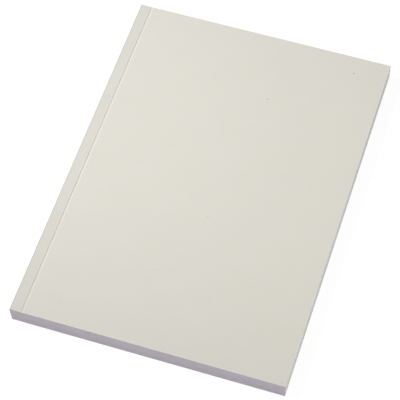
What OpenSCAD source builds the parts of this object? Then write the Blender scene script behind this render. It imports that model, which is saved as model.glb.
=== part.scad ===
// A perfect-bound softcover notebook: a stack of loose leaves, milled and notched along one edge,
// glued into a single folded card cover. The card is scored a little way in from the spine, front
// and back, and each cover opens along its score.
// The origin is the middle of the underside. X runs from the spine to the fore edge, Y from the
// tail to the head, and Z up through the leaves. Every size is in millimetres.

/* [Leaves] */
// Width of the closed notebook, from the spine to the fore edge
notebook_w = 148; // [90:1:216]
// Height of the notebook, from the tail to the head
notebook_h = 210; // [125:1:300]
// Number of leaves in the block
leaf_count = 96; // [40:1:160]
// Thickness of one leaf
leaf_t = 0.1; // [0.07:0.01:0.15]

/* [Cover] */
// Thickness of the cover card
card_t = 0.3; // [0.2:0.02:0.5]
// Distance from the spine to the middle of each hinge score
score_inset = 6.5; // [5:0.5:10]
// Width of the groove pressed along each hinge score
score_w = 1.6; // [0.8:0.1:2]
// Depth of that groove in the face of the card
score_d = 0.14; // [0.04:0.01:0.16]
// Outside radius of the two folds along the spine
fold_r = 0.6; // [0.5:0.1:1.2]
// How far the spine leans in between its front fold and its back fold
spine_lean = 0.5; // [0:0.1:1]

/* [Glue] */
// Thickness of the hot-melt glue between the leaves and the spine
spine_glue_t = 0.5; // [0.3:0.1:1]
// Thickness of the side glue at the spine, from where it thins out towards the score
side_glue_t = 0.15; // [0.05:0.01:0.25]
// Bare strip of card between the side glue and the groove of the score
side_glue_gap = 0.4; // [0.2:0.1:1]

/* [Milled notches] */
// Distance between neighbouring notches along the bound edge
notch_pitch = 7; // [4:0.5:12]
// Width of each notch
notch_w = 1; // [0.5:0.1:2]
// Depth of each notch into the leaves
notch_d = 0.8; // [0.4:0.1:1.5]
// Least length of whole leaf between the last notch and the head or tail
notch_margin = 5; // [2:0.5:15]

/* [Hidden] */

CREAM_CARD = [0.88, 0.87, 0.82];
WHITE_PAPER = [0.94, 0.92, 0.96];
PALE_GLUE = [0.91, 0.89, 0.89];

// Steps in the arc of each fold
fold_steps = 8;
// How far a cutting outline runs past what it cuts
overcut = 1;

block_t = leaf_count * leaf_t;
closed_t = block_t + 2 * card_t;
// The side glue under the leaves and the side glue over them lift the front strip together
front_rise = 2 * side_glue_t;
spine_t = closed_t + front_rise;
spine_x = -notebook_w / 2;
fore_x = notebook_w / 2;
score_x = spine_x + score_inset;
// The two edges of the groove, on the side of the spine and on the side of the fore edge
groove_in_x = score_x - score_w / 2;
groove_out_x = score_x + score_w / 2;
glue_edge_x = groove_in_x - side_glue_gap;
leaf_inset = card_t + spine_glue_t;

notch_room = notebook_h - 2 * notch_margin - notch_w;
notch_count = floor(notch_room / notch_pitch) + 1;

// Where the leaning outside of the spine stands at height z, moved in by inset. The lean runs
// from the bottom of the front fold to the top of the back fold.
function spine_line(z, inset) =
    spine_x + inset + spine_lean * (spine_t - fold_r - z) / (spine_t - 2 * fold_r);

// The corner at p, between the sides that run to before and after, rounded to radius r
function rounded(before, p, after, r) =
    let (
        u = (before - p) / norm(before - p),
        v = (after - p) / norm(after - p),
        half = acos(u * v) / 2,
        middle = p + (u + v) / norm(u + v) * r / sin(half),
        first = p + u * r / tan(half) - middle,
        turn = sign(cross(u, v)) * (180 - 2 * half)
    )
    r <= 0
        ? [p]
        : [for (i = [0 : fold_steps])
            let (a = -turn * i / fold_steps)
            middle + [first.x * cos(a) - first.y * sin(a), first.x * sin(a) + first.y * cos(a)]];

// The front and back folds of a face of the card, before they are rounded, and the points where
// that face bends at the edge of the side glue
function corner_front(inset) = [spine_line(spine_t - inset, inset), spine_t - inset];
function corner_back(inset) = [spine_line(inset, inset), inset];
function glue_edge_front(inset) = [glue_edge_x, closed_t - inset];
function glue_edge_back(inset) = [glue_edge_x, inset];

// One face of the card round the spine, from the front glue edge to the back one, inset from
// the outside of the notebook
function card_face(inset) = concat(
    [glue_edge_front(inset)],
    rounded(glue_edge_front(inset), corner_front(inset), corner_back(inset), fold_r - inset),
    rounded(corner_front(inset), corner_back(inset), glue_edge_back(inset), fold_r - inset),
    [glue_edge_back(inset)]
);

// The stack of leaves. The side glue lifts its bound edge off the back cover, and the leaves
// keep their thickness, so that both faces of the stack bend up at the edge of the glue.
leaf_back = [glue_edge_x, card_t];
leaf_front = [glue_edge_x, card_t + block_t];
bound_back = [spine_line(card_t + side_glue_t, leaf_inset), card_t + side_glue_t];
bound_front = [spine_line(spine_t - card_t - side_glue_t, leaf_inset), spine_t - card_t - side_glue_t];

module stack_outline() {
    polygon([
        leaf_back,
        [fore_x, card_t],
        [fore_x, card_t + block_t],
        leaf_front,
        bound_front,
        bound_back
    ]);
}

// The band of the section that the milling head reaches, from depth a to depth b
module milled_band(a, b) {
    low = -overcut;
    high = spine_t + overcut;
    polygon([
        [spine_line(low, leaf_inset + a), low],
        [spine_line(low, leaf_inset + b), low],
        [spine_line(high, leaf_inset + b), high],
        [spine_line(high, leaf_inset + a), high]
    ]);
}

// A section in X and Z, run along Y for a length and centred on y
module along_spine(length, y = 0) {
    translate([0, y + length / 2, 0])
        rotate([90, 0, 0])
            linear_extrude(height = length)
                children();
}

module at_notches() {
    for (i = [0 : notch_count - 1])
        along_spine(notch_w, (i - (notch_count - 1) / 2) * notch_pitch)
            children();
}

module page_block() {
    color(WHITE_PAPER)
        difference() {
            along_spine(notebook_h) stack_outline();
            at_notches() milled_band(-overcut, notch_d);
        }
}

// The glue fills the space between the leaves and the card, and keys into every notch
module spine_glue() {
    color(PALE_GLUE)
        union() {
            along_spine(notebook_h)
                polygon(concat(card_face(card_t), [bound_back, bound_front]));
            at_notches()
                intersection() {
                    stack_outline();
                    milled_band(0, notch_d);
                }
        }
}

// The card from one score to the other, round the spine
module cover_spine() {
    color(CREAM_CARD)
        along_spine(notebook_h)
            polygon(concat(
                [[score_x, closed_t - score_d], [groove_in_x, closed_t]],
                card_face(0),
                [[groove_in_x, 0], [score_x, score_d], [score_x, card_t]],
                [for (i = [len(card_face(card_t)) - 1 : -1 : 0]) card_face(card_t)[i]],
                [[score_x, closed_t - card_t]]
            ));
}

// One cover, from its score to the fore edge, lying with its outside at height z and its
// inside towards the leaves: up is 1 for the front cover and -1 for the back cover
module cover_leaf(z, up) {
    color(CREAM_CARD)
        along_spine(notebook_h)
            polygon([
                [score_x, z - up * card_t],
                [fore_x, z - up * card_t],
                [fore_x, z],
                [groove_out_x, z],
                [score_x, z - up * score_d]
            ]);
}

module front_cover() {
    cover_leaf(closed_t, 1);
}

module back_cover() {
    cover_leaf(0, -1);
}

page_block();
spine_glue();
cover_spine();
front_cover();
back_cover();
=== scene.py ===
# %% [markdown]
# # A softcover notebook
# The real notebook is a stack of loose leaves. Its bound edge is milled, notched and glued into a sheet
# of cream card, which is folded twice to make the spine. A score is pressed into the card on each side
# of the spine, and each cover opens along its score.
# The frame already holds every piece at its real size. This lesson dresses it: the card gets its true
# folds and pressed scores, the stack gets its separate leaves, and each surface gets its own finish.

# %% Load the frame
import math
import random
import bpy
from mathutils import Matrix, Vector


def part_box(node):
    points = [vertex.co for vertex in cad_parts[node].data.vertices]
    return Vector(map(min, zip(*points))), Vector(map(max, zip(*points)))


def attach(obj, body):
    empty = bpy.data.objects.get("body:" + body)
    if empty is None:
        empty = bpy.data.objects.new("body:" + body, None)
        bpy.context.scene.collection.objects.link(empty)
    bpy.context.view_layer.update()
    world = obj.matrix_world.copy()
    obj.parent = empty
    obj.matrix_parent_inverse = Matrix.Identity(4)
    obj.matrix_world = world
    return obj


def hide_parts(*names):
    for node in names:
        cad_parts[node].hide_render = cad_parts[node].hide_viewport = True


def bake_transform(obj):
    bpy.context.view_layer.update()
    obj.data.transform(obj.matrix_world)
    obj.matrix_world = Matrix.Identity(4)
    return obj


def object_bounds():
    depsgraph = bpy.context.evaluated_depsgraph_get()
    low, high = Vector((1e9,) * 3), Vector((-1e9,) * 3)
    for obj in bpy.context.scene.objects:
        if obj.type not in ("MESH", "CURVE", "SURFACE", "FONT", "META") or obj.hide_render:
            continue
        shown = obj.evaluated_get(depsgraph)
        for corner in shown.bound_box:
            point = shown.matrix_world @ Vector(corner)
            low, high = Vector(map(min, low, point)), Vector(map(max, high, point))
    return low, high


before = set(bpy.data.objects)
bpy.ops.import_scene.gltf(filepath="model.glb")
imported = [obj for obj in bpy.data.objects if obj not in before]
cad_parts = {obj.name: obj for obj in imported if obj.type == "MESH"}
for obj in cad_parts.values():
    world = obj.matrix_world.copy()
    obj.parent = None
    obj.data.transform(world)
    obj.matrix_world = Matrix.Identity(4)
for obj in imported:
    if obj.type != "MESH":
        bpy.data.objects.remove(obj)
cad_low, cad_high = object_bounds()
MM = 0.001


def in_mm(point):
    return [round(value / MM, 3) for value in point]


print("the frame's box, in mm:", in_mm(cad_low), in_mm(cad_high))

# %% [markdown]
# ## Where things are
# A piece that is placed by eye drifts away from its neighbours. Here every place is worked out from the
# boxes of the frame's own nodes, and the few sizes that a box can't show, such as the radius of a fold,
# are named with the piece that needs them.

# %% Measure the frame
cover_low, cover_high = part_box("front_cover")
tail_y, head_y = cover_low.y, cover_high.y
spine_x, fore_x = cad_low.x, cad_high.x
score_x = cover_low.x
closed_t = cover_high.z
card_t = cover_high.z - cover_low.z
block_low_z, block_high_z = card_t, closed_t - card_t
print("score, in mm from the spine:", round((score_x - spine_x) / MM, 2))
print("closed notebook:", round(closed_t / MM, 2), "mm thick, each card", round(card_t / MM, 2), "mm")

# %% [markdown]
# ## The camera
# The picture was taken from well above the tail of the notebook and a little to its right, with a long
# lens, so that opposite edges stay nearly parallel. Four facts place such a camera: where it stands,
# how far it is turned round and tipped down, how much it is rolled, and how long its lens is.
# A rotation matrix is built from them here, because a roll is easy to lose in a "look at" constraint.

# %% Place the camera
CAMERA_PLACE = Vector((160.5, -486.3, 792.6)) * MM
CAMERA_AZIMUTH = math.radians(18.785)
CAMERA_ELEVATION = math.radians(57.376)
CAMERA_ROLL = math.radians(-1.117)
CAMERA_LENS_MM = 156.5
SENSOR_MM = 36


def camera_turn(azimuth, elevation, roll):
    """The camera's rotation: its own right, up and backward directions, as the columns of a matrix."""
    back = Vector((
        math.sin(azimuth) * math.cos(elevation),
        -math.cos(azimuth) * math.cos(elevation),
        math.sin(elevation),
    ))
    level_right = Vector((math.cos(azimuth), math.sin(azimuth), 0))
    level_up = back.cross(level_right)
    right = level_right * math.cos(roll) + level_up * math.sin(roll)
    up = level_up * math.cos(roll) - level_right * math.sin(roll)
    return Matrix((right, up, back)).transposed()


bpy.ops.object.select_all(action="DESELECT")
bpy.ops.object.camera_add()
camera = bpy.context.object
camera.name = "camera"
turn = camera_turn(CAMERA_AZIMUTH, CAMERA_ELEVATION, CAMERA_ROLL)
camera.matrix_world = Matrix.Translation(CAMERA_PLACE) @ turn.to_4x4()
camera.data.lens = CAMERA_LENS_MM
camera.data.sensor_width = SENSOR_MM
bpy.context.scene.camera = camera
print("camera at", in_mm(CAMERA_PLACE), "mm, lens", CAMERA_LENS_MM, "mm")

# %% [markdown]
# ## Helpers for work in edit mode
# Every piece starts as a plain block or sheet, sized and placed inside edit mode, so that its object
# stays at the origin and its place is in its mesh. After that, the parts to work on are picked by
# where they lie, which is what a click does by hand.

# %% Start a piece and pick parts of it
TINY = 0.001 * MM


def start_piece(name, low, high):
    """Add a block that fills the box from low to high, or a sheet where the box has no height."""
    bpy.ops.object.select_all(action="DESELECT")
    if high.z - low.z < TINY:
        bpy.ops.mesh.primitive_plane_add(size=1)
    else:
        bpy.ops.mesh.primitive_cube_add(size=1)
    piece = bpy.context.object
    piece.name = name
    piece.data.name = name
    bpy.ops.object.mode_set(mode="EDIT")
    bpy.ops.transform.resize(value=(high.x - low.x, high.y - low.y, max(high.z - low.z, TINY)))
    bpy.ops.transform.translate(value=(low + high) / 2)
    return piece


def pick(piece, test, kind="VERT"):
    """Select the vertices that pass the test, then keep only the edges or faces that they bound."""
    bpy.ops.mesh.select_mode(type="VERT")
    bpy.ops.mesh.select_all(action="DESELECT")
    bpy.ops.object.mode_set(mode="OBJECT")
    for vertex in piece.data.vertices:
        vertex.select = test(vertex.co)
    bpy.ops.object.mode_set(mode="EDIT")
    bpy.ops.mesh.select_mode(type=kind)


def pick_faces(piece, test):
    """Select the faces whose middle passes the test."""
    bpy.ops.mesh.select_mode(type="FACE")
    bpy.ops.mesh.select_all(action="DESELECT")
    bpy.ops.object.mode_set(mode="OBJECT")
    for face in piece.data.polygons:
        face.select = test(face.center)
    bpy.ops.object.mode_set(mode="EDIT")


print("two places less than", TINY / MM, "mm apart count as one")

# %% Cut a piece and finish its shape
SMOOTH_UNDER = math.radians(20)


def cut_across(piece, places, axis, test=None):
    """Cut the piece, or the part of it that passes the test, with a plane at each place on an axis."""
    normal = Vector((axis == "X", axis == "Y", axis == "Z"))
    for place in places:
        pick(piece, test or (lambda point: True))
        bpy.ops.mesh.bisect(plane_co=normal * place, plane_no=normal, threshold=TINY)


def finish_shape(piece):
    """Leave edit mode with every face pointing outwards and every shallow bend shaded smooth."""
    bpy.ops.mesh.select_all(action="SELECT")
    bpy.ops.mesh.normals_make_consistent(inside=False)
    bpy.ops.object.mode_set(mode="OBJECT")
    bpy.ops.object.shade_smooth_by_angle(angle=SMOOTH_UNDER)
    print(piece.name, "has", len(piece.data.polygons), "faces")


# %% [markdown]
# ## The pressed score
# A scoring rule presses a shallow, round-bottomed groove into the outside of the card. The fibres under
# it are crushed, so the inside stays flat. The groove could be a bump, but light from the left catches
# its far wall and misses its near one, and that pair of fine lines is the cover's clearest feature.
# So it is modelled: columns of points across the groove, each pressed in by its own depth.

# %% Press a score into the card
GROOVE_W = 1.6 * MM
GROOVE_DEPTH = 0.14 * MM
GROOVE_COLUMNS = 8
GROOVE_MARGIN = 0.5 * MM


def groove_depth(x):
    """How deep the groove is at x: a raised cosine, which meets the flat card with no kink."""
    share = min(1, abs(x - score_x) / (GROOVE_W / 2))
    return GROOVE_DEPTH * (1 + math.cos(math.pi * share)) / 2


def groove_places(side):
    """Where the columns stand, from the middle of the score out to one side of it: 1 or -1."""
    step = GROOVE_W / 2 / GROOVE_COLUMNS
    inside = [score_x + side * step * i for i in range(1, GROOVE_COLUMNS + 1)]
    return inside + [score_x + side * (GROOVE_W / 2 + GROOVE_MARGIN)]


def press_score(piece, outside_z, inward):
    """Move the points of the outer face that lie in the groove inwards: inward is 1 or -1."""
    columns = sorted({round(v.co.x, 7) for v in piece.data.vertices})
    for x in [x for x in columns if groove_depth(x) > 0]:
        pick(piece, lambda p: abs(p.x - x) < TINY and abs(p.z - outside_z) < TINY)
        bpy.ops.transform.translate(value=(0, 0, inward * groove_depth(x)))


print("groove depths, in mm:", [round(groove_depth(x) / MM, 3) for x in groove_places(1)])

# %% [markdown]
# ## The card round the spine
# This is the middle of the one folded sheet, from the front score to the back score. It starts as a
# short bar of card at the front score. The bar's end face is then extruded along each straight run and
# spun round each fold, as the sheet itself runs round the stack. A spin keeps the card's thickness
# true through the fold, which a bevelled block would not.

# %% Sizes of the spine
FOLD_R = 0.6 * MM
FOLD_STEPS = 16
SIDE_GLUE_T = 0.15 * MM
SIDE_GLUE_GAP = 0.4 * MM
SPINE_LEAN = 0.5 * MM
GLUE_BEND_R = 4 * MM
GLUE_BEND_STEPS = 4

spine_t = closed_t + 2 * SIDE_GLUE_T
glue_edge_x = score_x - GROOVE_W / 2 - SIDE_GLUE_GAP


def spine_face_x(z):
    """Where the outside of the leaning spine stands at a height."""
    return spine_x + SPINE_LEAN * (spine_t - FOLD_R - z) / (spine_t - 2 * FOLD_R)


front_corner = Vector((spine_face_x(spine_t), 0, spine_t))
back_corner = Vector((spine_face_x(0), 0, 0))
print("front fold at", in_mm(front_corner), "and back fold at", in_mm(back_corner))


# %% Run a strip of card round the spine
class CardEnd:
    """The free end of a strip of card: a point on its outside, and the direction that it runs in."""

    def __init__(self, point, direction):
        self.point = point
        self.direction = direction.normalized()

    def inward(self):
        return Vector((-self.direction.z, 0, self.direction.x))

    def run_to(self, point):
        """Extrude the end straight on, to a point."""
        bpy.ops.mesh.extrude_region_move(TRANSFORM_OT_translate={"value": point - self.point})
        self.point = point

    def bend(self, direction, radius, steps):
        """Spin the end round to a new direction. The radius is that of the outside of the card."""
        direction = direction.normalized()
        angle = self.direction.angle(direction)
        towards_leaves = self.inward().dot(direction) > 0
        side = self.inward() if towards_leaves else -self.inward()
        centre = self.point + side * radius
        turn_by = angle if towards_leaves else -angle
        bpy.ops.mesh.spin(steps=steps, angle=turn_by, center=centre, axis=(0, 1, 0))
        self.point = centre + Matrix.Rotation(-turn_by, 3, "Y") @ (self.point - centre)
        self.direction = direction


def before_bend(corner, towards, direction_in, direction_out, radius):
    """Where a straight run that heads for a corner has to stop, for a bend of that radius to start."""
    half_turn = direction_in.angle(direction_out) / 2
    return corner + (towards - corner).normalized() * radius * math.tan(half_turn)


# %% Start at the front score and end at the back one
front_glue_edge = Vector((glue_edge_x, 0, closed_t))
LEFT, RIGHT = Vector((-1, 0, 0)), Vector((1, 0, 0))
up_the_glue = (front_corner - front_glue_edge).normalized()
down_the_spine = (back_corner - front_corner).normalized()

first_low = Vector((groove_places(-1)[0], tail_y, closed_t - card_t))
first_high = Vector((score_x, head_y, closed_t))
spine_card = start_piece("spine_card", first_low, first_high)
pick(spine_card, lambda p: abs(p.x - first_low.x) < TINY, "FACE")
end = CardEnd(Vector((first_low.x, 0, closed_t)), LEFT)
for x in groove_places(-1)[1:-1]:
    end.run_to(Vector((x, 0, closed_t)))
end.run_to(before_bend(front_glue_edge, end.point, LEFT, up_the_glue, GLUE_BEND_R))
end.bend(up_the_glue, GLUE_BEND_R, GLUE_BEND_STEPS)
end.run_to(before_bend(front_corner, end.point, up_the_glue, down_the_spine, FOLD_R))
end.bend(down_the_spine, FOLD_R, FOLD_STEPS)
end.run_to(before_bend(back_corner, end.point, down_the_spine, RIGHT, FOLD_R))
end.bend(RIGHT, FOLD_R, FOLD_STEPS)
for x in reversed([score_x] + groove_places(-1)):
    end.run_to(Vector((x, 0, 0)))
print("the strip ends at", in_mm(end.point), "mm")

# %% [markdown]
# The guillotine cuts the card square, and handling rounds the two arrises of each cut by a few
# hundredths of a millimetre. All the cut faces of a piece are picked at once, so that their rim is one
# line that turns the corners, and the rim is bevelled. Its short edges at the score are left out,
# because the card doesn't end there: it goes on into the cover.

# %% Soften the cut edges of the card
CUT_SOFTNESS = 0.03 * MM


def soften_cuts(piece, cuts):
    """Bevel the arrises of the card's cut faces, except for the edges that lie on the score."""

    def on_a_cut(middle):
        return any(abs(middle["XYZ".index(axis)] - place) < TINY for axis, place in cuts)

    pick_faces(piece, on_a_cut)
    bpy.ops.mesh.region_to_loop()
    bpy.ops.object.mode_set(mode="OBJECT")
    for edge in piece.data.edges:
        ends = [piece.data.vertices[i].co for i in edge.vertices]
        if all(abs(point.x - score_x) < TINY for point in ends):
            edge.select = False
    bpy.ops.object.mode_set(mode="EDIT")
    bpy.ops.mesh.bevel(offset=CUT_SOFTNESS, offset_type="OFFSET", segments=2, affect="EDGES")


press_score(spine_card, closed_t, -1)
press_score(spine_card, 0, 1)
soften_cuts(spine_card, (("Y", tail_y), ("Y", head_y)))
finish_shape(spine_card)

# %% [markdown]
# ## The two covers
# Each cover is the rest of the sheet, from its score to the fore edge. Both are the same piece of card,
# so one is modelled and the other is its mirror image through the middle of the stack. The front one
# starts as a thin block, is cut into columns at the groove, pressed, and softened on its three cuts.

# %% Model the front cover
front_card = start_piece("front_card", cover_low, cover_high)
cut_across(front_card, groove_places(1), "X")
press_score(front_card, closed_t, -1)
soften_cuts(front_card, (("X", fore_x), ("Y", tail_y), ("Y", head_y)))
finish_shape(front_card)

# %% Mirror it for the back cover
bpy.ops.object.select_all(action="DESELECT")
front_card.select_set(True)
bpy.context.view_layer.objects.active = front_card
bpy.ops.object.duplicate()
back_card = bpy.context.object
back_card.name = "back_card"
back_card.data.name = "back_card"
bpy.ops.object.mode_set(mode="EDIT")
bpy.ops.mesh.select_all(action="SELECT")
bpy.ops.transform.mirror(constraint_axis=(False, False, True), center_override=(0, 0, closed_t / 2))
finish_shape(back_card)

# %% [markdown]
# ## The leaves
# A guillotined stack still shows its leaves: each one ends a hundredth of a millimetre in or out from
# the next, and that is the fine grain along the tail and the fore edge. It could be drawn as stripes,
# but at the edges the stripes would have no steps. So one leaf is modelled, as a thin sheet
# with the binder's notches in its bound edge and the bend that the side glue gives it, and then it is
# copied for the whole stack, and each copy is trimmed by a little less or more.

# %% Sizes of a leaf
LEAF_COUNT = 96
AIR_GAP = 0.006 * MM
SPINE_GLUE_T = 0.5 * MM
NOTCH_PITCH = 7 * MM
NOTCH_W = 1 * MM
NOTCH_D = 0.8 * MM
NOTCH_MARGIN = 5 * MM

leaf_pitch = (block_high_z - block_low_z) / LEAF_COUNT
leaf_t = leaf_pitch - AIR_GAP
bound_z = block_low_z + SIDE_GLUE_T
bound_x = spine_face_x(bound_z) + card_t + SPINE_GLUE_T
notch_room = head_y - tail_y - 2 * NOTCH_MARGIN - NOTCH_W
notch_count = int(notch_room / NOTCH_PITCH) + 1
notch_middles = [(i - (notch_count - 1) / 2) * NOTCH_PITCH for i in range(notch_count)]
print(notch_count, "notches along a leaf", round(leaf_t / MM, 3), "mm thick")


# %% Cut one leaf and its notches
def in_notch(y):
    return any(abs(y - middle) < NOTCH_W / 2 - TINY for middle in notch_middles)


leaf_z = block_low_z + AIR_GAP / 2
leaf = start_piece("leaf", Vector((bound_x, tail_y, leaf_z)), Vector((fore_x, head_y, leaf_z)))
notch_floor_x = bound_x + NOTCH_D
cut_across(leaf, [notch_floor_x, glue_edge_x], "X")
notch_sides = [middle + side * NOTCH_W / 2 for middle in notch_middles for side in (-1, 1)]
cut_across(leaf, notch_sides, "Y", lambda p: p.x < notch_floor_x + TINY)

pick_faces(leaf, lambda middle: middle.x < notch_floor_x and in_notch(middle.y))
bpy.ops.mesh.delete(type="FACE")
bpy.ops.object.mode_set(mode="OBJECT")
print("the leaf has", len(leaf.data.vertices), "points round its outline and notches")

# %% Bend it up over the side glue and give it its thickness
glue_angle = math.atan2(SIDE_GLUE_T, glue_edge_x - bound_x)
bpy.ops.object.mode_set(mode="EDIT")
pick(leaf, lambda p: p.x < glue_edge_x - TINY)
hinge_line = (glue_edge_x, 0, leaf_z)
# With no window this operator turns the other way, so a minus angle lifts the bound edge
bpy.ops.transform.rotate(value=-glue_angle, orient_axis="Y", center_override=hinge_line)
bpy.ops.object.mode_set(mode="OBJECT")
thickness = leaf.modifiers.new("thickness", "SOLIDIFY")
thickness.thickness = leaf_t
thickness.offset = 1
bpy.ops.object.modifier_apply(modifier=thickness.name)
bpy.ops.object.mode_set(mode="EDIT")
finish_shape(leaf)
leaf_zs = [v.co.z for v in leaf.data.vertices]
print("the leaf lies between", round(min(leaf_zs) / MM, 3), "and", round(max(leaf_zs) / MM, 3), "mm")

# %% [markdown]
# The spine leans, so each leaf higher in the stack reaches a little further towards it. The copies are
# made from the bottom up. Each one's bound edge is moved out to the leaning glue, and its three cut
# edges are moved in by up to three hundredths of a millimetre, with a fixed seed so that every run of
# this script cuts the same stack.

# %% Stack the leaves
TRIM_MOST = 0.03 * MM
trimmer = random.Random(11)


def move_points(piece, test, offset):
    pick(piece, test)
    bpy.ops.transform.translate(value=offset)


stack = []
for number in range(LEAF_COUNT):
    bpy.ops.object.select_all(action="DESELECT")
    leaf.select_set(True)
    bpy.context.view_layer.objects.active = leaf
    bpy.ops.object.duplicate()
    copy = bpy.context.object
    rise = number * leaf_pitch
    bpy.ops.object.mode_set(mode="EDIT")
    lean = spine_face_x(bound_z + rise) - spine_face_x(bound_z)
    move_points(copy, lambda p: p.x < notch_floor_x + 2 * TINY, (lean, 0, 0))
    move_points(copy, lambda p: p.x > fore_x - TINY, (-trimmer.uniform(0, TRIM_MOST), 0, 0))
    move_points(copy, lambda p: p.y < tail_y + TINY, (0, trimmer.uniform(0, TRIM_MOST), 0))
    move_points(copy, lambda p: p.y > head_y - TINY, (0, -trimmer.uniform(0, TRIM_MOST), 0))
    move_points(copy, lambda p: True, (0, 0, rise))
    bpy.ops.object.mode_set(mode="OBJECT")
    stack.append(copy)
print("copied", len(stack), "leaves")

# %% Join the copies into one stack
bpy.ops.object.select_all(action="DESELECT")
for copy in stack:
    copy.select_set(True)
bpy.context.view_layer.objects.active = stack[0]
bpy.ops.object.join()
leaves = bpy.context.object
leaves.name = "leaves"
leaves.data.name = "leaves"
bpy.data.objects.remove(leaf)
print("the stack has", len(leaves.data.polygons), "faces in", LEAF_COUNT, "leaves")

# %% [markdown]
# ## Helpers for materials
# Colours are written as sRGB hex values, which is how a colour picker shows them, and turned to the
# linear values that the renderer adds up. One function adds a node: it takes the node's settings, and
# for each socket either a plain value or the output that feeds it.

# %% Turn a hex colour to linear light and add a node
def linear_colour(hex_code):
    channels = [int(hex_code[i:i + 2], 16) / 255 for i in (0, 2, 4)]
    light = [c / 12.92 if c <= 0.04045 else ((c + 0.055) / 1.055) ** 2.4 for c in channels]
    return (*light, 1.0)


def add_node(tree, kind, sockets=None, **settings):
    node = tree.nodes.new(kind)
    for name, value in settings.items():
        setattr(node, name, value)
    for name, value in (sockets or {}).items():
        if isinstance(value, bpy.types.NodeSocket):
            tree.links.new(value, node.inputs[name])
        else:
            node.inputs[name].default_value = value
    return node


def new_material(name):
    """An empty node material, with a principled surface joined to its output."""
    material = bpy.data.materials.new(name)
    material.use_nodes = True
    tree = material.node_tree
    tree.nodes.clear()
    surface = add_node(tree, "ShaderNodeBsdfPrincipled")
    add_node(tree, "ShaderNodeOutputMaterial", {"Surface": surface.outputs["BSDF"]})
    return material, tree, surface


print("half grey, 808080, is", round(linear_colour("808080")[0], 3), "in linear light")

# %% [markdown]
# ## Where the card differs from place to place
# One sheet of card, but a few places on it look different. The groove of the score is painted darker
# at its bottom and near wall, as painted shade, and its far wall and the lip beside it are painted
# paler, as a painted highlight where the main lamp catches them. The strip that the side glue holds has
# drunk a little glue and looks greyer. The two folds along the spine are painted grey, as painted
# shade. Along each cut the face is paler, where the blade has lifted the fibres, and the cut itself is
# greyer. Each
# place is a mask: a number from 0 to 1, worked out from where a point lies.
# The covers bend as they open, and a bend moves the points of the mesh. A pattern that reads where
# they are would slide over the card. So each point of the card keeps, as an attribute, the place that
# it has in the closed notebook, and every mask and pattern of the card reads that.

# %% Let the card remember its closed place
def remember_place(piece):
    closed_place = piece.data.attributes.new("closed_place", "FLOAT_VECTOR", "POINT")
    for vertex, place in zip(piece.data.vertices, closed_place.data):
        place.vector = vertex.co
    print(piece.name, "remembers the place of", len(closed_place.data), "points")


for piece in (spine_card, front_card, back_card):
    remember_place(piece)

# %% Measure how far a point of the card is from its score and folds
card_material, card_tree, card_surface = new_material("uncoated_cream_card")
card_place = add_node(card_tree, "ShaderNodeAttribute", attribute_name="closed_place").outputs["Vector"]
card_xyz = add_node(card_tree, "ShaderNodeSeparateXYZ", {"Vector": card_place})
card_x, card_y, card_z = (card_xyz.outputs[axis] for axis in "XYZ")

# The darker line is painted shade, a little towards the spine on the groove's near wall
SCORE_SHADE_SHIFT = 0.2 * MM
# The paler line is a painted highlight, on the groove's far wall where the main lamp catches it
SCORE_HIGHLIGHT_SHIFT = 0.65 * MM
from_lines = []
for line_x in (score_x - SCORE_SHADE_SHIFT, score_x + SCORE_HIGHLIGHT_SHIFT):
    past_line = add_node(card_tree, "ShaderNodeMath", {0: card_x, 1: line_x}, operation="SUBTRACT")
    from_line = add_node(
        card_tree, "ShaderNodeMath", {0: past_line.outputs["Value"]}, operation="ABSOLUTE"
    )
    from_lines.append(from_line.outputs["Value"])
    print("a line across the card at", round(line_x / MM, 2), "mm")
from_score_shade, from_score_highlight = from_lines

section_place = add_node(
    card_tree, "ShaderNodeVectorMath", {0: card_place, 1: (1, 0, 1)}, operation="MULTIPLY"
)
from_folds = [
    add_node(
        card_tree,
        "ShaderNodeVectorMath",
        {0: section_place.outputs["Vector"], 1: corner},
        operation="DISTANCE",
    ).outputs["Value"]
    for corner in (front_corner, back_corner)
]
from_fold = add_node(
    card_tree, "ShaderNodeMath", {0: from_folds[0], 1: from_folds[1]}, operation="MINIMUM"
)

# %% Measure how far it is from the cuts and from the outer face
from_halfway = add_node(card_tree, "ShaderNodeMath", {0: card_y}, operation="ABSOLUTE")
from_end = add_node(
    card_tree, "ShaderNodeMath", {0: head_y, 1: from_halfway.outputs["Value"]}, operation="SUBTRACT"
)
from_fore = add_node(card_tree, "ShaderNodeMath", {0: fore_x, 1: card_x}, operation="SUBTRACT")
from_cut = add_node(
    card_tree,
    "ShaderNodeMath",
    {0: from_end.outputs["Value"], 1: from_fore.outputs["Value"]},
    operation="MINIMUM",
)

over_waist = add_node(card_tree, "ShaderNodeMath", {0: card_z, 1: closed_t / 2}, operation="SUBTRACT")
from_waist = add_node(
    card_tree, "ShaderNodeMath", {0: over_waist.outputs["Value"]}, operation="ABSOLUTE"
)
under_outside = add_node(
    card_tree, "ShaderNodeMath", {0: closed_t / 2, 1: from_waist.outputs["Value"]}, operation="SUBTRACT"
)
print("the outer faces lie", round(closed_t / 2 / MM, 2), "mm from the waist of the notebook")

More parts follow.
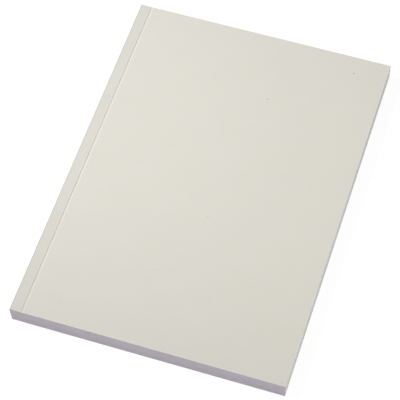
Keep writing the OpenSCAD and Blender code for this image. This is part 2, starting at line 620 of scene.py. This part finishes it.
# %% Turn each distance into a mask
card_masks = {}
for mask_name, distance, full_mm, none_mm in (
    # painted shade in the groove, at its bottom and near wall
    ("score_painted_shade", from_score_shade, 0.1, 0.7),
    # a painted highlight on the groove's far wall and the lip beside it
    ("score_painted_highlight", from_score_highlight, 0.05, 0.4),
    # painted shade along the two folds of the spine
    ("fold_painted_shade", from_fold.outputs["Value"], 0.5, 1.3),
    ("glued_strip", card_x, glue_edge_x / MM - 0.2, glue_edge_x / MM + 0.5),
    ("lifted_rim", from_cut.outputs["Value"], 0.1, 0.7),
    ("cut_face", from_cut.outputs["Value"], 0.01, 0.03),
    ("outer_face", under_outside.outputs["Value"], 0.2, 0.28),
):
    card_masks[mask_name] = add_node(
        card_tree,
        "ShaderNodeMapRange",
        {
            "Value": distance,
            "From Min": full_mm * MM,
            "From Max": none_mm * MM,
            "To Min": 1,
            "To Max": 0,
        },
        interpolation_type="SMOOTHSTEP",
    ).outputs["Result"]
    print(mask_name, "fades out between", round(full_mm, 2), "and", round(none_mm, 2), "mm")
for mask_name in ("score_painted_shade", "score_painted_highlight"):
    card_masks[mask_name] = add_node(
        card_tree,
        "ShaderNodeMath",
        {0: card_masks[mask_name], 1: card_masks["outer_face"]},
        operation="MULTIPLY",
    ).outputs["Value"]
    print(mask_name, "stays on the outer face, which the scoring rule touched")

# %% [markdown]
# ## Flecks and fibres
# Uncoated card is pressed from pulp, and a few specks of bark and darker fibre always stay in it. They
# are the slices that the surface cuts through small balls, one in each cell of a cell pattern: each
# ball has its own size and darkness, and most cells have none that reaches the surface. A fine noise
# pushes the pattern about first, which makes the specks ragged. Fine hairs of fibre are the thin lines
# along which a noise pattern passes through its middle value.

# %% Scatter ragged cells
FLECK_SPACING = 8 * MM
RAG_SIZE = 0.3 * MM
RAG_PUSH = 0.25 * MM

rag = add_node(
    card_tree, "ShaderNodeTexNoise", {"Vector": card_place, "Scale": 1 / RAG_SIZE, "Detail": 1}
)
rag_push = add_node(
    card_tree, "ShaderNodeVectorMath", {0: rag.outputs["Color"], "Scale": RAG_PUSH}, operation="SCALE"
)
ragged_place = add_node(
    card_tree, "ShaderNodeVectorMath", {0: card_place, 1: rag_push.outputs["Vector"]}, operation="ADD"
)
cells = add_node(
    card_tree,
    "ShaderNodeTexVoronoi",
    {"Vector": ragged_place.outputs["Vector"], "Scale": 1 / FLECK_SPACING, "Randomness": 1},
)
print("a cell every", round(FLECK_SPACING / MM, 1), "mm, pushed about by up to", RAG_PUSH / MM, "mm")

# %% Put a fleck in the middle of each cell
FLECK_MOST = 0.5 * MM
FLECK_SOFT = 0.12 * MM

cell_chance = add_node(card_tree, "ShaderNodeSeparateColor", {"Color": cells.outputs["Color"]})
fleck_radius = add_node(
    card_tree,
    "ShaderNodeMath",
    {0: cell_chance.outputs["Red"], 1: FLECK_MOST / FLECK_SPACING},
    operation="MULTIPLY",
)
inside_fleck = add_node(
    card_tree,
    "ShaderNodeMath",
    {0: fleck_radius.outputs["Value"], 1: cells.outputs["Distance"]},
    operation="SUBTRACT",
)
fleck_shape = add_node(
    card_tree,
    "ShaderNodeMapRange",
    {"Value": inside_fleck.outputs["Value"], "From Min": 0, "From Max": FLECK_SOFT / FLECK_SPACING},
    interpolation_type="SMOOTHSTEP",
)
fleck = add_node(
    card_tree,
    "ShaderNodeMath",
    {0: fleck_shape.outputs["Result"], 1: cell_chance.outputs["Green"]},
    operation="MULTIPLY",
)
card_masks["fleck"] = fleck.outputs["Value"]
print("the largest fleck is", round(2 * FLECK_MOST / MM, 2), "mm across")

# %% Draw the hairs of fibre
FIBRE_CURL = 2.5 * MM
# How far the noise may be from its middle value where a hair is whole, and where it ends
HAIR_WHOLE = 0.004
HAIR_END = 0.012

curl = add_node(
    card_tree, "ShaderNodeTexNoise", {"Vector": card_place, "Scale": 1 / FIBRE_CURL, "Detail": 2}
)
off_middle = add_node(
    card_tree, "ShaderNodeMath", {0: curl.outputs["Fac"], 1: 0.5}, operation="SUBTRACT"
)
beside_line = add_node(
    card_tree, "ShaderNodeMath", {0: off_middle.outputs["Value"]}, operation="ABSOLUTE"
)
line = add_node(
    card_tree,
    "ShaderNodeMapRange",
    {
        "Value": beside_line.outputs["Value"],
        "From Min": HAIR_WHOLE,
        "From Max": HAIR_END,
        "To Min": 1,
        "To Max": 0,
    },
)
print("hairs curl over", round(FIBRE_CURL / MM, 1), "mm")

# %% Keep the hairs to patches
FIBRE_PATCH = 5 * MM
# The noise values at which a patch starts, and where it is whole
PATCH_START = 0.55
PATCH_WHOLE = 0.65

patch = add_node(
    card_tree, "ShaderNodeTexNoise", {"Vector": card_place, "Scale": 1 / FIBRE_PATCH, "Detail": 1}
)
in_patch = add_node(
    card_tree,
    "ShaderNodeMapRange",
    {"Value": patch.outputs["Fac"], "From Min": PATCH_START, "From Max": PATCH_WHOLE},
)
fibre = add_node(
    card_tree,
    "ShaderNodeMath",
    {0: line.outputs["Result"], 1: in_patch.outputs["Result"]},
    operation="MULTIPLY",
)
card_masks["fibre"] = fibre.outputs["Value"]
print("hairs lie in patches of", round(FIBRE_PATCH / MM, 1), "mm")

# %% [markdown]
# ## Uncoated cream card
# The base colour is a warm white with the faintest cloudiness, where the pulp lies thicker. Each mask
# then lays its own colour over it. A stain multiplies what is there, as a filter would, and can only
# darken it, so the paler places are mixed in as a new colour instead. The surface has no shine. A felt
# leaves a fine tooth in it, which is a bump.

# %% Mix the cream card
CLOUD_SIZE = 14 * MM
STAINS = (
    # a painted highlight on the score's far wall
    ("score_painted_highlight", "MIX", "EDEAE1"),
    ("glued_strip", "MULTIPLY", "FBFCFD"),
    # painted shade in the score's groove
    ("score_painted_shade", "MULTIPLY", "F3F4F3"),
    ("lifted_rim", "MIX", "E7E4DF"),
    # painted shade along the folds
    ("fold_painted_shade", "MULTIPLY", "EFF1EF"),
    ("cut_face", "MIX", "D9D6D8"),
    ("fleck", "MULTIPLY", "B9AB8E"),
    ("fibre", "MULTIPLY", "FAF7F0"),
)

cloud = add_node(
    card_tree, "ShaderNodeTexNoise", {"Vector": card_place, "Scale": 1 / CLOUD_SIZE, "Detail": 3}
)
card_colour = add_node(
    card_tree,
    "ShaderNodeMix",
    {"Factor": cloud.outputs["Fac"], "A": linear_colour("E2DFD5"), "B": linear_colour("E5E2D9")},
    data_type="RGBA",
).outputs["Result"]
for mask_name, blend, stain in STAINS:
    card_colour = add_node(
        card_tree,
        "ShaderNodeMix",
        {"Factor": card_masks[mask_name], "A": card_colour, "B": linear_colour(stain)},
        data_type="RGBA",
        blend_type=blend,
    ).outputs["Result"]
    print("the card turns", stain, "where the mask is", mask_name)

# %% Give the card its tooth
TOOTH_SIZE = 0.35 * MM
TOOTH_HEIGHT = 0.005 * MM

tooth = add_node(
    card_tree,
    "ShaderNodeTexNoise",
    {"Vector": card_place, "Scale": 1 / TOOTH_SIZE, "Detail": 3, "Roughness": 0.6},
)
felt = add_node(card_tree, "ShaderNodeBump", {"Height": tooth.outputs["Fac"], "Distance": TOOTH_HEIGHT})
card_tree.links.new(card_colour, card_surface.inputs["Base Color"])
card_tree.links.new(felt.outputs["Normal"], card_surface.inputs["Normal"])
card_surface.inputs["Roughness"].default_value = 0.9
print("the tooth is", round(TOOTH_HEIGHT / MM, 3), "mm high")

# %% [markdown]
# ## Guillotined white paper
# A stack cut by a guillotine isn't an even white. Each leaf takes the light a little differently,
# several leaves together make a paler or darker streak, and a nick in the blade leaves a faint line
# straight across all of them. The lowest leaves are painted a little grey, which is painted shade near
# the floor. Leaf by leaf is one random number for each leaf's place in the stack. Streaks and nicks
# are one noise pattern, stretched along the leaves and then across them. The tail and the head are
# painted a cool, greyed lilac, which is the painted colour of the shade that they lie in. The fore edge
# has no such tint, and the flat of a leaf is white.
# The leaves stay still when a cover opens, so Object coordinates serve here.

# %% Tell the leaves apart
paper_material, paper_tree, paper_surface = new_material("guillotined_white_paper")
paper_place = add_node(paper_tree, "ShaderNodeTexCoord").outputs["Object"]
paper_xyz = add_node(paper_tree, "ShaderNodeSeparateXYZ", {"Vector": paper_place})
paper_z = paper_xyz.outputs["Z"]
above_first = add_node(paper_tree, "ShaderNodeMath", {0: paper_z, 1: block_low_z}, operation="SUBTRACT")
in_leaves = add_node(
    paper_tree, "ShaderNodeMath", {0: above_first.outputs["Value"], 1: leaf_pitch}, operation="DIVIDE"
)
leaf_number = add_node(paper_tree, "ShaderNodeMath", {0: in_leaves.outputs["Value"]}, operation="FLOOR")
leaf_chance = add_node(
    paper_tree, "ShaderNodeTexWhiteNoise", {"W": leaf_number.outputs["Value"]}, noise_dimensions="1D"
)
print("a new leaf starts every", round(leaf_pitch / MM, 3), "mm up the stack")

# %% Stretch the streaks and the nicks
STREAK_LENGTH = 45 * MM
STREAK_HEIGHT = 0.7 * MM
NICK_WIDTH = 0.9 * MM
NICK_HEIGHT = 40 * MM

paper_shares = {"leaf": leaf_chance.outputs["Value"]}
for share_name, along, up in (
    ("streak", STREAK_LENGTH, STREAK_HEIGHT),
    ("nick", NICK_WIDTH, NICK_HEIGHT),
):
    stretched = add_node(
        paper_tree,
        "ShaderNodeMapping",
        {"Vector": paper_place, "Scale": (1 / along, 1 / along, 1 / up)},
    )
    paper_shares[share_name] = add_node(
        paper_tree,
        "ShaderNodeTexNoise",
        {"Vector": stretched.outputs["Vector"], "Scale": 1, "Detail": 3},
    ).outputs["Fac"]
    print("a", share_name, "is about", round(along / MM, 1), "mm along and", round(up / MM, 1), "mm up")
# Painted shade: the leaves are darker towards the floor
paper_shares["low_painted_shade"] = add_node(
    paper_tree,
    "ShaderNodeMapRange",
    {"Value": paper_z, "From Min": 0, "From Max": block_high_z, "To Min": 1, "To Max": 0},
).outputs["Result"]

# %% Find the tail and the head
paper_from_halfway = add_node(
    paper_tree, "ShaderNodeMath", {0: paper_xyz.outputs["Y"]}, operation="ABSOLUTE"
)
# Painted shade colour: the tail and the head are tinted a cool lilac
paper_shares["tail_and_head_painted_shade"] = add_node(
    paper_tree,
    "ShaderNodeMapRange",
    {
        "Value": paper_from_halfway.outputs["Value"],
        "From Min": head_y - 2 * TRIM_MOST,
        "From Max": head_y - TRIM_MOST,
    },
).outputs["Result"]
print("the lilac starts", round(2 * TRIM_MOST / MM, 2), "mm in from the tail and the head")

# %% Mix the paper of the leaves
PAPER_STAINS = {
    # the painted colour of the shade at the tail and the head
    "tail_and_head_painted_shade": "FCF4FF",
    "leaf": "FAFAFA",
    "streak": "F8F8F9",
    "nick": "FAFAFA",
    # painted shade near the floor
    "low_painted_shade": "F2F2F3",
}

paper_colour = linear_colour("FDFDFF")
for share_name, stain in PAPER_STAINS.items():
    paper_colour = add_node(
        paper_tree,
        "ShaderNodeMix",
        {"Factor": paper_shares[share_name], "A": paper_colour, "B": linear_colour(stain)},
        data_type="RGBA",
        blend_type="MULTIPLY",
    ).outputs["Result"]
    print("the paper is stained", stain, "by", share_name)
paper_tree.links.new(paper_colour, paper_surface.inputs["Base Color"])
paper_surface.inputs["Roughness"].default_value = 0.95

# %% [markdown]
# ## Hot-melt glue
# The binder's glue is a milky plastic that is rolled on hot. It sets with a satin skin that is a little
# lumpy from the roller, and it shows only at the head and tail, as a thin line beside the spine.

# %% Mix the glue
LUMP_SIZE = 1.5 * MM
LUMP_HEIGHT = 0.05 * MM

glue_material, glue_tree, glue_surface = new_material("rolled_hot_melt_glue")
glue_place = add_node(glue_tree, "ShaderNodeTexCoord").outputs["Object"]
lumps = add_node(
    glue_tree, "ShaderNodeTexNoise", {"Vector": glue_place, "Scale": 1 / LUMP_SIZE, "Detail": 2}
)
glue_colour = add_node(
    glue_tree,
    "ShaderNodeMix",
    {"Factor": lumps.outputs["Fac"], "A": linear_colour("E2DCDC"), "B": linear_colour("EEEAE8")},
    data_type="RGBA",
)
glue_skin = add_node(
    glue_tree, "ShaderNodeBump", {"Height": lumps.outputs["Fac"], "Distance": LUMP_HEIGHT}
)
glue_tree.links.new(glue_colour.outputs["Result"], glue_surface.inputs["Base Color"])
glue_tree.links.new(glue_skin.outputs["Normal"], glue_surface.inputs["Normal"])
glue_surface.inputs["Roughness"].default_value = 0.45
print("the glue has a lump every", round(LUMP_SIZE / MM, 1), "mm")

# %% Give each piece its material
for piece, material in (
    (spine_card, card_material),
    (front_card, card_material),
    (back_card, card_material),
    (leaves, paper_material),
    (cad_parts["spine_glue"], glue_material),
):
    piece.data.materials.clear()
    piece.data.materials.append(material)
    print(piece.name, "is made of", material.name)

# %% [markdown]
# ## Floor, world and lamp
# The notebook lies on a plain pale floor. The main lamp is a soft one to the left, a little towards the
# tail, so that the cover pales towards the spine, the score shows its two lines and the tail gets a
# grazing light. A small, slightly warm lamp stands low on the right and lights the fore edge, most of
# all near the tail. An even pale world fills the rest. The floor and the world look white to the camera
# alone, so the white doesn't add light to the notebook, and the lamps themselves aren't seen.

# %% Tell what the camera sees from what lights the notebook
def seen_directly(tree):
    """1 for a ray from the camera, also by way of a shine or through a clear thing, and 0 otherwise."""
    path = add_node(tree, "ShaderNodeLightPath")
    kinds = [path.outputs[name] for name in ("Is Camera Ray", "Is Glossy Ray", "Is Transmission Ray")]
    first_two = add_node(tree, "ShaderNodeMath", {0: kinds[0], 1: kinds[1]}, operation="MAXIMUM")
    every = add_node(
        tree, "ShaderNodeMath", {0: first_two.outputs["Value"], 1: kinds[2]}, operation="MAXIMUM"
    )
    return every.outputs["Value"]


# %% Lay the floor
FLOOR_SIZE = 6.0
FLOOR_GLOW = 0.87
FLOOR_SHADOW_SHARE = 0.22

bpy.ops.object.select_all(action="DESELECT")
bpy.ops.mesh.primitive_plane_add(size=FLOOR_SIZE)
floor = bpy.context.object
floor.name = "floor"
floor_material = bpy.data.materials.new("pale_floor")
floor_material.use_nodes = True
floor_tree = floor_material.node_tree
floor_tree.nodes.clear()
floor_card = add_node(floor_tree, "ShaderNodeBsdfDiffuse", {"Color": linear_colour("C4C3C2")})
shadow_paint = (FLOOR_SHADOW_SHARE, FLOOR_SHADOW_SHARE, FLOOR_SHADOW_SHARE, 1)
shadow_keeper = add_node(floor_tree, "ShaderNodeBsdfDiffuse", {"Color": shadow_paint})
glow = add_node(floor_tree, "ShaderNodeEmission", {"Strength": FLOOR_GLOW})
white_floor = add_node(
    floor_tree, "ShaderNodeAddShader", {0: shadow_keeper.outputs["BSDF"], 1: glow.outputs["Emission"]}
)
floor_mix = add_node(
    floor_tree,
    "ShaderNodeMixShader",
    {0: seen_directly(floor_tree), 1: floor_card.outputs["BSDF"], 2: white_floor.outputs["Shader"]},
)
add_node(floor_tree, "ShaderNodeOutputMaterial", {"Surface": floor_mix.outputs["Shader"]})
floor.data.materials.append(floor_material)
print("the floor is", FLOOR_SIZE, "m wide")

# %% Give the world its light
WORLD_LIGHT = 0.37

world = bpy.data.worlds.new("studio")
bpy.context.scene.world = world
world.use_nodes = True
world_tree = world.node_tree
world_tree.nodes.clear()
PLAIN_WHITE = (1, 1, 1, 1)
sky_light = add_node(
    world_tree, "ShaderNodeBackground", {"Color": PLAIN_WHITE, "Strength": WORLD_LIGHT}
)
sky_white = add_node(world_tree, "ShaderNodeBackground", {"Color": PLAIN_WHITE, "Strength": 1.0})
sky_mix = add_node(
    world_tree,
    "ShaderNodeMixShader",
    {
        0: seen_directly(world_tree),
        1: sky_light.outputs["Background"],
        2: sky_white.outputs["Background"],
    },
)
add_node(world_tree, "ShaderNodeOutputWorld", {"Surface": sky_mix.outputs["Shader"]})
print("the world lights the notebook with a strength of", WORLD_LIGHT)


# %% Make a lamp that is aimed
def hang_lamp(name, aim, azimuth, elevation, distance, size, energy, spread, colour):
    """A lamp aimed at a point. Its angles are in degrees, and azimuth 0 is on the side of the tail."""
    a, e = math.radians(azimuth), math.radians(elevation)
    towards = Vector((math.sin(a) * math.cos(e), -math.cos(a) * math.cos(e), math.sin(e)))
    bpy.ops.object.select_all(action="DESELECT")
    bpy.ops.object.light_add(type="AREA", location=aim + towards * distance)
    lamp = bpy.context.object
    lamp.name = name
    lamp.rotation_euler = towards.to_track_quat("Z", "Y").to_euler()
    lamp.data.size = size
    lamp.data.energy = energy
    lamp.data.spread = math.radians(spread)
    lamp.data.color = colour
    lamp.visible_camera = False
    print(name, "hangs at", in_mm(lamp.location))


# %% Hang the two lamps
hang_lamp(
    "key_softbox",
    aim=Vector((-18, 54, 10)) * MM,
    azimuth=-78,
    elevation=45,
    distance=0.7,
    size=0.4,
    energy=0.585,
    spread=60,
    colour=(1, 1, 1),
)
hang_lamp(
    "fill_softbox",
    aim=Vector((74, -60, 5)) * MM,
    azimuth=82,
    elevation=20,
    distance=0.5,
    size=0.3,
    energy=0.85,
    spread=180,
    colour=(1, 1, 0.88),
)

bpy.context.scene.view_settings.view_transform = "Standard"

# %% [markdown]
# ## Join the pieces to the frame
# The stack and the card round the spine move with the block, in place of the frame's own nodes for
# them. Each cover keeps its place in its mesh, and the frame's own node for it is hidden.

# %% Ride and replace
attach(leaves, "block")
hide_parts("page_block")
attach(spine_card, "block")
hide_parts("cover_spine")
for piece, body, z in ((front_card, "front_cover", closed_t), (back_card, "back_cover", 0)):
    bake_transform(piece)
    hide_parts(body)
